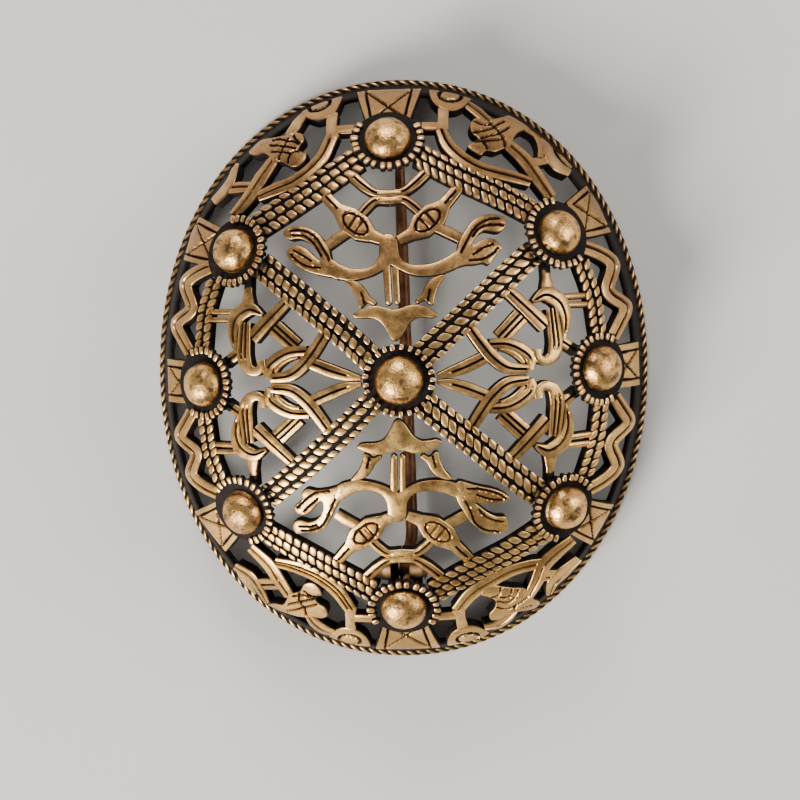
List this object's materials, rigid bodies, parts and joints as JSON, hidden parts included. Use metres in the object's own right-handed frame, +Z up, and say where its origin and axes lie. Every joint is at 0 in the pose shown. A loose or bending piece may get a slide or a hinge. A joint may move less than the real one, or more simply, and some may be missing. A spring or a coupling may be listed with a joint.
{
  "type": "oval brooch with hinged pin",
  "caption": "Domed oval openwork brooch in cast bronze with roped bands, bosses and interlaced beasts, and a hinged pin with its catch behind.",
  "frame": {"origin": "centre of the rim's flat underside, where the brooch rests face up", "axes": "+Z up out of the central boss; +Y along the oval's length, from the pin's hinge towards its catch; +X across the oval"},
  "size_m": [0.0846, 0.1, 0.0318],
  "materials": {
    "cast_bronze": "polished high faces over near-black patina in the grooves",
    "pin_bronze": "dull reddish brown, drawn wire"
  },
  "bodies": {
    "brooch": {"shell": "cast_bronze", "hinge_rivet": "pin_bronze"},
    "pin": {"pin": "pin_bronze"}
  },
  "joints": [
    {"name": "pin_hinge", "type": "hinge", "parent": "brooch", "child": "pin", "pos_m": [0.00078, -0.03469, 0.004], "axis": [-0.9994, -0.034, 0], "range_deg": [0, 80]}
  ]
}
